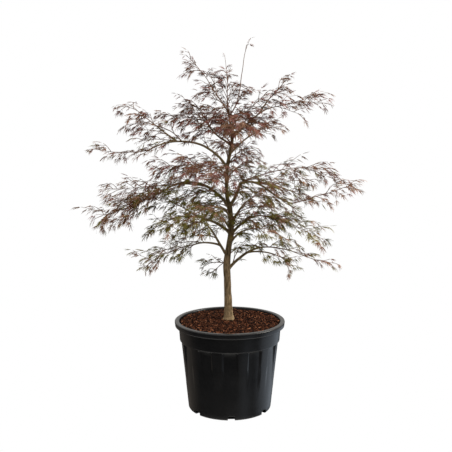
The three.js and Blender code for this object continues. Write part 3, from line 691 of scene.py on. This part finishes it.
def make_chips():
    draw = random.Random(SEEDS["chips"])
    shapes = chip_shapes(draw)
    heaps = {name: Heap() for name in CHIP_TINTS}
    names = list(CHIP_TINTS)
    weights = [share for _, share in CHIP_TINTS.values()]
    for _ in range(CHIPS["count"]):
        radius = (MULCH["radius"] - CHIPS["from_wall"]) * math.sqrt(draw.random())
        turn = draw.uniform(0, 360)
        size = draw.uniform(*CHIPS["size"]) * MM * draw.choice(CHIPS["scales"])
        where = heading(turn, 0) * radius * MM
        where.z = (ground_height(radius) - CHIPS["sunk"] + draw.uniform(*CHIPS["loose"])) * MM
        tilts = [Matrix.Rotation(draw.gauss(0, angle), 4, axis) for angle, axis in zip(CHIP_TILT, "XY")]
        lying = Matrix.Rotation(draw.uniform(0, 2 * math.pi), 4, "Z") @ (tilts[0] @ tilts[1])
        matrix = Matrix.Translation(where) @ lying @ Matrix.Scale(size, 4)
        heaps[draw.choices(names, weights)[0]].add(draw.choice(shapes), matrix)
    for name, heap in heaps.items():
        material = wood_chip("chip_" + name, CHIP_TINTS[name][0])
        add_piece("mulch_chips_" + name, heap.mesh(), material, "mulch", smooth=False)


# ---------------------------------------------------------------- trunk and boughs

TRUNK_RINGS, TRUNK_SIDES = 150, 20
BOUGH_STEP, BOUGH_SIDES = 9, 9
BOUGH_SWAY = 2.5
BOUGH_SWELLING = (0.3, 1.5)  # share by which a bough is thicker where it springs, and rings that this takes
RING_CROWDING = 1.1  # the power that draws the trunk's rings together at its foot
BARK_DEPTH = {"furrows": 0.05, "swellings": 0.07}  # shares of the limb's radius
BARK_SCALE = {"furrows": (260, 260, 30), "swellings": 22}
BARK_STANDS, TRUNK_BARK_STANDS = 0.3, 0.8  # millimetres beyond the solid's radius
ROOTS = {"count": 5, "height": 60, "depth": 0.13, "turn": 0.8}
SWAY_LENGTH = 0.07  # metres in which a limb's sway changes
NOISE_SHIFTS = (0, 17.3, 41.9)

limbs = {}  # by name, the points of each limb and stem and its radius at them


def curve_through(knots, count):
    """Points of a centripetal Catmull-Rom curve through the knots, each with its radius."""
    places = [Vector((x, y, z)) * MM for z, x, y, _ in knots]
    places = [places[0] * 2 - places[1], *places, places[-1] * 2 - places[-2]]
    points, radii = [], []
    for i in range(count + 1):
        place = (i / count) ** RING_CROWDING * (len(knots) - 1)
        k = min(int(place), len(knots) - 2)
        t = place - k
        p0, p1, p2, p3 = places[k : k + 4]
        d0, d1, d2 = ((a - b).length ** 0.5 for a, b in ((p1, p0), (p2, p1), (p3, p2)))
        out = ((p1 - p0) / d0 - (p2 - p0) / (d0 + d1) + (p2 - p1) / d1) * d1
        back = ((p2 - p1) / d1 - (p3 - p1) / (d1 + d2) + (p3 - p2) / d2) * d1
        square = p2 * 3 - p1 * 3 - out * 2 - back
        cube = p1 * 2 - p2 * 2 + out + back
        points.append(p1 + out * t + square * t**2 + cube * t**3)
        smooth = t * t * (3 - 2 * t)
        radii.append((knots[k][3] * (1 - smooth) + knots[k + 1][3] * smooth) * MM)
    return points, radii


def level_side(along):
    """The level direction square to a heading."""
    side = along.cross(Vector((0, 0, 1)))
    return side.normalized() if side.length > 0.02 else Vector((1, 0, 0))


def add_limb(bm, points, radii, sides, relief=None):
    """A limb as rings drawn out along its points.

    With relief(place, turn, radius), that is added to the radius, and each ring follows the last one without
    a twist. Without it, each ring starts level.
    """
    ring = bmesh.ops.create_circle(bm, cap_ends=False, segments=sides, radius=1)["verts"]
    across = None
    rings = []
    for i, (point, radius) in enumerate(zip(points, radii)):
        along = (points[min(i + 1, len(points) - 1)] - points[max(i - 1, 0)]).normalized()
        if relief:
            start = across or along.cross(Vector((0, 1, 0)))
            across = (start - along * start.dot(along)).normalized()
        else:
            across = level_side(along)
        up = along.cross(across)
        if i:
            edges = [bm.edges.get((a, b)) for a, b in zip(ring, ring[1:] + ring[:1])]
            out = bmesh.ops.extrude_edge_only(bm, edges=edges)["geom"]
            made = [v for v in out if isinstance(v, bmesh.types.BMVert)]
            last = set(ring)
            linked = {e.other_vert(v): v for v in made for e in v.link_edges if e.other_vert(v) in last}
            ring = [linked[v] for v in ring]
        rings.append(ring)
        for k, vert in enumerate(ring):
            turn = 2 * math.pi * k / sides
            side = across * math.cos(turn) + up * math.sin(turn)
            raised = relief(point + side * radius, turn, radius) if relief else 0
            vert.co = point + side * (radius + raised)
    for end in (rings[0], rings[-1]):
        bmesh.ops.contextual_create(bm, geom=end)


def bark_relief(place, turn, radius):
    """Furrows along the limb and slow swellings."""
    furrow = noise.noise(Vector([a * scale for a, scale in zip(place, BARK_SCALE["furrows"])]))
    swell = noise.noise(place * BARK_SCALE["swellings"])
    return radius * (BARK_DEPTH["furrows"] * furrow + BARK_DEPTH["swellings"] * swell) + BARK_STANDS * MM


def trunk_relief(place, turn, radius):
    """The bark, and the roots' flare in soft ridges at the foot."""
    low = max(0, 1 - (place.z / MM - GROUND_Z) / ROOTS["height"])
    ridges = ROOTS["depth"] * low**1.5 * math.cos(ROOTS["count"] * turn + ROOTS["turn"])
    return bark_relief(place, turn, radius) + radius * ridges + TRUNK_BARK_STANDS * MM


def noise_offset(place):
    """A small vector from three readings of the noise, far enough apart to be unlike each other."""
    return Vector([noise.noise(place + Vector((0, shift, 0))) for shift in NOISE_SHIFTS])


def sway(points, draw, amount):
    """Bends a limb a little from side to side, more in its middle than at its ends."""
    first = Vector([draw.uniform(0, 50) for _ in range(3)])
    last = len(points) - 1
    length = sum((b - a).length for a, b in zip(points, points[1:]))
    swayed = []
    for i, point in enumerate(points):
        offset = noise_offset(first + Vector((0, 0, i / last * length / SWAY_LENGTH)))
        swayed.append(point + offset * (amount * math.sin(math.pi * i / (last + 0.01))))
    return swayed


def on_trunk(z):
    points = limbs["trunk"][0]
    i = max(next((k for k, p in enumerate(points) if p.z >= z * MM), len(points) - 1), 1)
    a, b = points[i - 1], points[i]
    return a.lerp(b, min((z * MM - a.z) / (b.z - a.z), 1))


def grow_trunk(material):
    bm = bmesh.new()
    limbs["trunk"] = curve_through(TRUNK, TRUNK_RINGS)
    add_limb(bm, *limbs["trunk"], TRUNK_SIDES, trunk_relief)
    add_piece("trunk_wood", mesh_from(bm), material, "bark", "trunk")


def grow_boughs(material):
    bm = bmesh.new()
    draw = random.Random(SEEDS["boughs"])
    thicker, rings = BOUGH_SWELLING
    for name, parent, place, azimuth, rise, length, start_radius, tip_radius in BOUGHS:
        start = on_trunk(place) if parent == "trunk" else point_at(limbs[parent][0], place)
        points = sway(limb_points(start, azimuth, rise, length * MM, BOUGH_STEP * MM), draw, BOUGH_SWAY * MM)
        radii = taper(len(points), start_radius, tip_radius)
        radii = [radius * MM * (1 + thicker * math.exp(-i / rings)) for i, radius in enumerate(radii)]
        limbs[name] = (points, radii)
        add_limb(bm, points, radii, BOUGH_SIDES, bark_relief)
    add_piece("bough_wood", mesh_from(bm), material, "bark", *[row[0] for row in BOUGHS])


# ---------------------------------------------------------------- foliage

# The shoots of a stem follow the source's rule: how far they turn from it, how much of its rise they follow,
# how much they lift by themselves, the shortest as a share of the longest, and how they shorten to its tip.
SHOOT = {
    "angle": 50, "spread": 44, "follow": 0.6, "lift": 13, "lift_spread": 66, "shortest": 0.4,
    "narrowing": 0.3, "least": 24,
}
DENSITY = 1.35  # shoots for each one of the source's rule
STEM = {
    "bare": 0.05, "radius": 3.4, "tip": 0.8, "thinning": 0.8, "step": 12, "sway": 4, "sides": 6,
    "beside": 0.75,  # share of its limb's radius that a stem can have where it doesn't go on from the tip
    "end_twig": 0.5,  # length of the twig at its tip, as a share of its reach
}
TWIG = {"step": 14, "sway": 3, "droop": (8, 30), "bow": 0.4, "tip": 0.8}
TWIG_RADIUS = {True: 1.9, False: 1.1}  # of a twig that forks and of a plain one
SIDE_TWIG = {
    "spacing": 38, "first": 0.7, "angle": 34, "turn": (0.6, 1.3), "lift": (-16, 30), "size": (0.4, 0.85),
}
BOUGH_TWIGS = {"from": 0.45, "spacing": 44, "reach": 40}
LEAF_SIZE = (36, 57)
SHORT_TWIG = (0.4, 90)  # the least share of a leaf's size, and the length of twig that would add a whole one
LEAF_FALL = (4, 48)  # degrees below level
LEAF_TURN = (6, 38)  # degrees off its twig
LEAF_ROLL = 16
LEAF_OUTWARD = 0.52  # how far a leaf turns from its twig's heading to the one straight away from the trunk
LEAF_SPACING = 36
FIRST_LEAVES = 0.8  # share of that spacing
LEAF_FOLLOW = 0.5  # how much of its twig's rise a leaf follows
LEAFLESS = {True: 0.45, False: 0.25}  # chance that a place on a forked or a plain twig has no leaf
END_LEAF = {"turn": 24, "fall": 30}  # the most that the leaf at a twig's end turns aside and falls
STALK = 0.2  # share of a leaf's length that is its stalk
STALK_WIDTH = 0.016
LOBES = {
    # number of lobes: each one's angle and its share of the longest
    5: ((-52, 0.62), (-25, 0.88), (0, 1.0), (25, 0.88), (52, 0.62)),
    7: ((-74, 0.4), (-48, 0.66), (-23, 0.9), (0, 1.0), (23, 0.9), (48, 0.66), (74, 0.4)),
}
LOBE = {
    "length": (0.8, 1.08), "width": (0.06, 0.083), "thinning": 0.4, "droop": (0.0, 0.3), "roll": 60,
    "turn": 9,
}
LOBE_WIDTHS = (0.3, 0.9, 0.8, 0.0)  # at thirds of a lobe's length
# The _dark and _light tints are darker and paler copies of each family's colour: painted shade and painted
# light.
LEAF_TINTS = {
    # name: colour, slot
    "olive_dark": ((0.088, 0.074, 0.017), "foliage_olive"),
    "olive": ((0.136, 0.117, 0.034), "foliage_olive"),
    "olive_light": ((0.2, 0.166, 0.062), "foliage_olive"),
    "bronze_dark": ((0.132, 0.071, 0.04), "foliage_bronze"),
    "bronze": ((0.188, 0.102, 0.064), "foliage_bronze"),
    "bronze_light": ((0.25, 0.145, 0.1), "foliage_bronze"),
    "red_dark": ((0.156, 0.06, 0.046), "foliage_red"),
    "red": ((0.2, 0.09, 0.074), "foliage_red"),
    "red_light": ((0.262, 0.132, 0.112), "foliage_red"),
}
# The chances of each colour in a bronze mass, and of bronze in the others: at the trunk, and what they gain
# by the ends of the boughs.
IN_BRONZE = {"bronze": (0.6, 0.2), "olive": (0.34, -0.2), "red": (0.14, 0)}
BRONZE_IN = {"olive": (0.06, 0.38), "red": (0.3, 0.4)}
# The leaves' painted shade and light: tints below "dark" are painted shade inside the crown, tints from
# "light" on are painted light at its ends.
PAINTED_SHADE_AND_LIGHT_BANDS = {"scatter": 0.3, "dark": 0.3, "light": 1.05}  # dark nearer the trunk, and light farther out
TRUNK_PLACE = (-0.005, 0.03)
CROWN_REACH = 0.5  # metres from the trunk at which leaves are those of the ends

# How much paler or darker a mass is than its distance from the trunk makes it: painted light where it is
# paler, painted shade where a thick mass is darker.
PAINTED_LIGHT_AND_SHADE_BY_MASS = {
    "left_upper_leaves": -0.8, "left_drooping_leaves": -0.5, "left_mid_leaves": -0.4, "fine_9": -0.5,
    "fine_10": -0.4, "top_left_leaves": 0.1, "top_tip_leaves": 0.5, "left_low_leaves": 0.3,
    "left_bottom_leaves": 0.3,
    "right_low_leaves": 0.2, "right_rising_leaves": 0.4, "right_mid_leaves": 0.2, "left_level_leaves": 0.2,
}

# Stems with their few shoots near the tip: the share that is bare, and how many there are.
FEW_SHOOTS = {"top_tip_leaves": (0.7, 1)}


def leaf_shapes(draw, count=10):
    """Cut leaves a unit long on a short stalk, with narrow drooping lobes, as (vertices, triangles)."""
    shapes = []
    for i in range(count):
        bm = bmesh.new()
        made = bmesh.ops.create_grid(bm, x_segments=1, y_segments=1, size=0.5)["verts"]
        bmesh.ops.scale(bm, vec=(STALK, STALK_WIDTH, 1), verts=made)
        bmesh.ops.translate(bm, vec=(STALK / 2, 0, 0), verts=made)
        for angle, share in LOBES[7 if i % 3 == 0 else 5]:
            length = (1 - STALK) * share * draw.uniform(*LOBE["length"])
            width = draw.uniform(*LOBE["width"]) * share ** LOBE["thinning"]
            droop = draw.uniform(*LOBE["droop"])
            roll = turned(draw.uniform(-LOBE["roll"], LOBE["roll"]), "X")
            made = bmesh.ops.create_grid(bm, x_segments=3, y_segments=1, size=0.5)["verts"]
            for vert in made:
                t = vert.co.x + 0.5
                half = width / 2 * LOBE_WIDTHS[round(t * 3)]
                fallen = Vector((0, 0, droop * length * t**2))
                vert.co = roll @ Vector((t * length, 2 * vert.co.y * half, 0)) - fallen
            turn = turned(angle + draw.uniform(-LOBE["turn"], LOBE["turn"]), "Z")
            bmesh.ops.transform(bm, matrix=Matrix.Translation((STALK, 0, 0)) @ turn, verts=made)
        bmesh.ops.remove_doubles(bm, verts=bm.verts, dist=1e-5)
        bmesh.ops.triangulate(bm, faces=bm.faces)
        shapes.append(as_arrays(bm))
    return shapes


def strand(points, radii, sides=3):
    """A thin tapering twig as (vertices, triangles)."""
    bm = bmesh.new()
    add_limb(bm, points, radii, sides)
    bmesh.ops.triangulate(bm, faces=bm.faces)
    return as_arrays(bm)


class Crown:
    """Grows the masses' twigs and leaves, and sorts the leaves by tint."""

    def __init__(self):
        self.twigs = Heap()
        self.leaves = {tint: Heap() for tint in LEAF_TINTS}
        self.shapes = leaf_shapes(random.Random(SEEDS["leaves"]))

    def add_leaf(self, draw, origin, azimuth, rise, tint, scale):
        away = math.degrees(math.atan2(origin.y, origin.x))
        azimuth += LEAF_OUTWARD * ((away - azimuth + 180) % 360 - 180)
        along = heading(azimuth, rise)
        left = heading(azimuth + 90, draw.uniform(-LEAF_ROLL, LEAF_ROLL))
        left = (left - along * left.dot(along)).normalized()
        lying = Matrix((along, left, along.cross(left))).transposed().to_4x4()
        size = Matrix.Scale(draw.uniform(*LEAF_SIZE) * scale * MM, 4)
        self.leaves[tint].add(draw.choice(self.shapes), Matrix.Translation(origin) @ lying @ size)

    def leafy_twig(self, draw, start, azimuth, rise, length, colour, paler, forks):
        """A twig that droops to its tip, with pairs of leaves in two tints, and finer twigs at its sides."""
        tints = [self.tint_for(draw, colour, start, paler) for _ in range(2)]
        least, full = SHORT_TWIG
        scale = min(least + length / (full * MM), 1)
        droop = draw.uniform(*TWIG["droop"])
        rises = (rise, rise - TWIG["bow"] * droop, rise - droop)
        points = sway(limb_points(start, azimuth, rises, length, TWIG["step"] * MM), draw, TWIG["sway"] * MM)
        radii = taper(len(points), TWIG_RADIUS[forks] * MM, TWIG["tip"] * MM)
        self.twigs.add(strand(points, radii), Matrix())
        pairs = max(1, round(length / (LEAF_SPACING * MM)))
        for k in range(pairs):
            share = (k + FIRST_LEAVES) / pairs
            for side in (-1, 1):
                if draw.random() < LEAFLESS[forks]:
                    continue
                fall = draw.uniform(*LEAF_FALL) - LEAF_FOLLOW * rise_at(points, share)
                turn = azimuth + side * draw.uniform(*LEAF_TURN)
                self.add_leaf(draw, point_at(points, share), turn, -fall, draw.choice(tints), scale)
        turn = azimuth + draw.uniform(-END_LEAF["turn"], END_LEAF["turn"])
        fall = rise - droop - draw.uniform(0, END_LEAF["fall"])
        self.add_leaf(draw, points[-1], turn, fall, tints[0], scale)
        count = round(length / (SIDE_TWIG["spacing"] * MM)) if forks else 0
        for k in range(count):
            share = (k + SIDE_TWIG["first"]) / count
            side = 1 if k % 2 else -1
            self.leafy_twig(
                draw, point_at(points, share),
                azimuth + side * SIDE_TWIG["angle"] * draw.uniform(*SIDE_TWIG["turn"]),
                SHOOT["follow"] * rise_at(points, share) + draw.uniform(*SIDE_TWIG["lift"]),
                length * draw.uniform(*SIDE_TWIG["size"]), colour, paler, False,
            )

    def tint_for(self, draw, colour, where, paler):
        """Greener near the trunk and more purple at the ends, as their own colours; darker near the trunk as
        painted shade inside the crown, and paler at the ends as painted light.
        """
        out = math.hypot(where.x - TRUNK_PLACE[0], where.y - TRUNK_PLACE[1]) / CROWN_REACH
        # How far out a leaf is, plus its mass's painted light and shade and a random scatter; this picks the
        # tint's painted shade and light.
        outer = out + paler + draw.gauss(0, PAINTED_SHADE_AND_LIGHT_BANDS["scatter"])
        reached = {"olive": min(out, 1), "bronze": out, "red": out}
        if colour == "bronze":
            chances = [chance + gain * reached[family] for family, (chance, gain) in IN_BRONZE.items()]
            family = draw.choices(list(IN_BRONZE), chances)[0]
        else:
            chance, gain = BRONZE_IN[colour]
            family = "bronze" if draw.random() < chance + gain * reached[colour] else colour
        # The tint's shade is painted: _dark is painted shade, _light is painted light.
        shade = "_dark" if outer < PAINTED_SHADE_AND_LIGHT_BANDS["dark"] else "" if outer < PAINTED_SHADE_AND_LIGHT_BANDS["light"] else "_light"
        return family + shade

    def grow_shoots(self, draw, points, azimuth, reach, count, first, colour, paler=0):
        """Shoots on alternate sides of a stem or bough, by the source's rule."""
        for k in range(count):
            share = first + (1 - first) * (k + 0.5) / count
            side = 1 if k % 2 else -1
            out = SHOOT["angle"] + SHOOT["spread"] * (draw.random() - 0.5)
            lift = SHOOT["lift"] + SHOOT["lift_spread"] * (draw.random() - 0.5)
            fullness = SHOOT["shortest"] + (1 - SHOOT["shortest"]) * draw.random()
            length = (reach * fullness * (1 - SHOOT["narrowing"] * share) + SHOOT["least"]) * MM
            origin = point_at(points, share)
            rise = SHOOT["follow"] * rise_at(points, share) + lift
            self.leafy_twig(draw, origin, azimuth + side * out, rise, length, colour, paler, True)

    def grow_mass(self, row, seed):
        """A stem that goes on from its limb, with its shoots."""
        name, source, azimuth, rise, length, reach, count, colour = row
        draw = random.Random(seed)
        start, widest = branching_place(source)
        stem = limb_points(start, azimuth, rise, length * MM, STEM["step"] * MM)
        stem = sway(stem, draw, STEM["sway"] * MM)
        radii = taper(len(stem), min(widest, STEM["radius"] * MM), STEM["tip"] * MM, STEM["thinning"])
        limbs[name] = (stem, radii)
        self.twigs.add(strand(stem, radii, STEM["sides"]), Matrix())
        # The mass's painted light and shade: positive values make its tints paler, negative ones make them
        # darker.
        paler = PAINTED_LIGHT_AND_SHADE_BY_MASS.get(name, 0)
        bare, shoots = FEW_SHOOTS.get(name, (STEM["bare"], round(count * DENSITY)))
        self.grow_shoots(draw, stem, azimuth, reach, shoots, bare, colour, paler)
        last = STEM["end_twig"] * reach * MM
        self.leafy_twig(draw, stem[-1], azimuth, rise_at(stem, 1), last, colour, paler, True)

    def grow_on_bough(self, row, seed):
        """Short leafy twigs on the outer part of a bough, in the colour of the mass at its tip."""
        name, azimuth, length = row[0], row[3], row[5]
        first, reach = BOUGH_TWIGS["from"], BOUGH_TWIGS["reach"]
        count = round(length * (1 - first) / BOUGH_TWIGS["spacing"])
        colour = next((mass[7] for mass in MASSES if mass[1] == name), "bronze")
        self.grow_shoots(random.Random(seed), limbs[name][0], azimuth, reach, count, first, colour)


def branching_place(source):
    """Where a stem starts, at a limb's tip or somewhere along it, and the radius that it can have there."""
    carrier, _, place = source.partition("@")
    points, radii = limbs[carrier]
    if carrier == "trunk":
        return on_trunk(float(place)), radii[0]
    share = float(place or 1)
    radius = radii[round(share * (len(radii) - 1))]
    return point_at(points, share), radius * (STEM["beside"] if place else 1)


def grow_crown(twig_material):
    crown = Crown()
    for i, row in enumerate(MASSES):
        crown.grow_mass(row, SEEDS["masses"] + i)
    for i, row in enumerate(FINE_BOUGHS):
        crown.grow_mass((f"fine_{i}", *row), SEEDS["fine_boughs"] + i)
    for i, row in enumerate(BOUGHS):
        crown.grow_on_bough(row, SEEDS["bough_twigs"] + i)
    add_piece("twigs", crown.twigs.mesh(), twig_material, "bark")
    for tint, heap in crown.leaves.items():
        colour, slot = LEAF_TINTS[tint]
        material = leaf("leaf_" + tint, colour)
        replaced = [row[0] for row in MASSES if row[7] == tint]
        add_piece("leaves_" + tint, heap.mesh(), material, slot, *replaced, smooth=False)


# ---------------------------------------------------------------- the stage

LIGHTS = [
    # name, place, what it is aimed at, size, power and colour
    ("key", (3.3, -0.6, 2.0), (0, 0, 0.8), (1.3, 1.3), 124, (1, 0.96, 0.9)),
    ("fill", (-3.0, -2.0, 1.8), (0, 0, 0.7), (2.4, 2.4), 2, (1, 1, 1)),
    ("right_sheen", (1.48, 0.51, -0.43), (0, 0, 0.2), (2.2, 0.8), 5.6, (0.78, 0.88, 1)),
    ("front_sheen", (0.77, -0.94, -0.43), (0, 0, 0.2), (0.5, 0.8), 0.5, (0.78, 0.88, 1)),
    ("left_sheen", (-1.33, 0.78, -0.43), (0, 0, 0.2), (1.7, 0.8), 0.9, (1, 0.86, 0.72)),
]
SKY = [
    # share of the way up from straight down, and brightness
    (0.0, 1.8), (0.12, 1.5), (0.18, 0.02), (0.415, 0.02), (0.46, 0.52), (0.58, 0.68), (0.74, 1.15), (1, 2.3),
]
SKY_TINT = (1, 0.97, 0.92)
FLOOR = {"radius": 30, "below": 0.0005}
CAMERA = {"lens": 56.5, "film": 36, "place": (-0.0169, -3.1398, 1.2418), "down": 7.45}


def add_camera():
    data = bpy.data.cameras.new("camera")
    data.lens = CAMERA["lens"]
    data.sensor_width = CAMERA["film"]
    camera = new_object("camera", data)
    camera.location = CAMERA["place"]
    camera.rotation_euler = (math.radians(90 - CAMERA["down"]), 0, 0)
    bpy.context.scene.camera = camera


def add_floor():
    """A white floor that the plant neither shows in its gloss nor is lit by."""
    bm = bmesh.new()
    low = Matrix.Translation((0, 0, -FLOOR["below"]))
    bmesh.ops.create_circle(bm, cap_ends=True, segments=64, radius=FLOOR["radius"], matrix=low)
    glow = {"Emission_Color": (1, 1, 1, 1), "Emission_Strength": 1.0}
    white = Finish("floor_white", (0, 0, 0), 1.0, Specular_IOR_Level=0.0, **glow)
    floor = new_object("floor", mesh_from(bm))
    floor.data.materials.append(white.material)
    floor.visible_glossy = False
    floor.visible_diffuse = False
    floor.visible_shadow = False


def add_light(name, location, target, size, power, colour):
    data = bpy.data.lights.new(name, "AREA")
    data.shape = "RECTANGLE"
    data.size, data.size_y = size
    data.energy = power
    data.color = colour
    light = new_object(name, data)
    light.location = location
    light.rotation_euler = (Vector(target) - Vector(location)).to_track_quat("-Z", "Y").to_euler()


def add_world():
    """White to the eye. It lights the plant from above and below, with a dark band a little below level."""
    world = bpy.data.worlds.new("studio")
    bpy.context.scene.world = world
    sky = Nodes(world)
    height = sky.node("SeparateXYZ", inputs={0: sky.node("TexCoord", output="Generated")}, output="Z")
    share = sky.node("MapRange", inputs={"Value": height, "From Min": -1})
    stops = [(place, [grey * part for part in SKY_TINT]) for place, grey in SKY]
    cast = sky.node("Background", inputs={"Color": sky.shades(share, stops)})
    white = sky.tree.nodes["Background"]
    white.inputs["Color"].default_value = (1, 1, 1, 1)
    seen = Value(sky, white.outputs[0])
    for_eye = sky.node("LightPath", output="Is Camera Ray")
    mixed = sky.node("MixShader", inputs={"Fac": for_eye, 1: cast, 2: seen})
    sky.link(sky.tree.nodes["World Output"].inputs["Surface"], mixed)


make_pot(moulded_plastic())
# The bed's near-black is partly the soil's colour and partly painted shade in the gaps between the chips.
make_bed(wood_chip("mulch_soil_and_painted_gap_shade", (0.007, 0.004, 0.003)))
make_chips()
# The trunk's darker upper colour is partly younger bark and partly painted shade under the crown.
grow_trunk(bark("trunk_bark", (0.035, 0.024, 0.011), (0.36, 0.255, 0.145), 260, upper=(0.17, 0.12, 0.06)))
grow_boughs(bark("bough_bark", (0.045, 0.03, 0.015), (0.32, 0.235, 0.125), 420))
grow_crown(bark("twig_bark", (0.1, 0.05, 0.03), (0.21, 0.12, 0.075), 500))

add_camera()
add_floor()
add_world()
for light in LIGHTS:
    add_light(*light)
bpy.context.scene.view_settings.view_transform = "Standard"
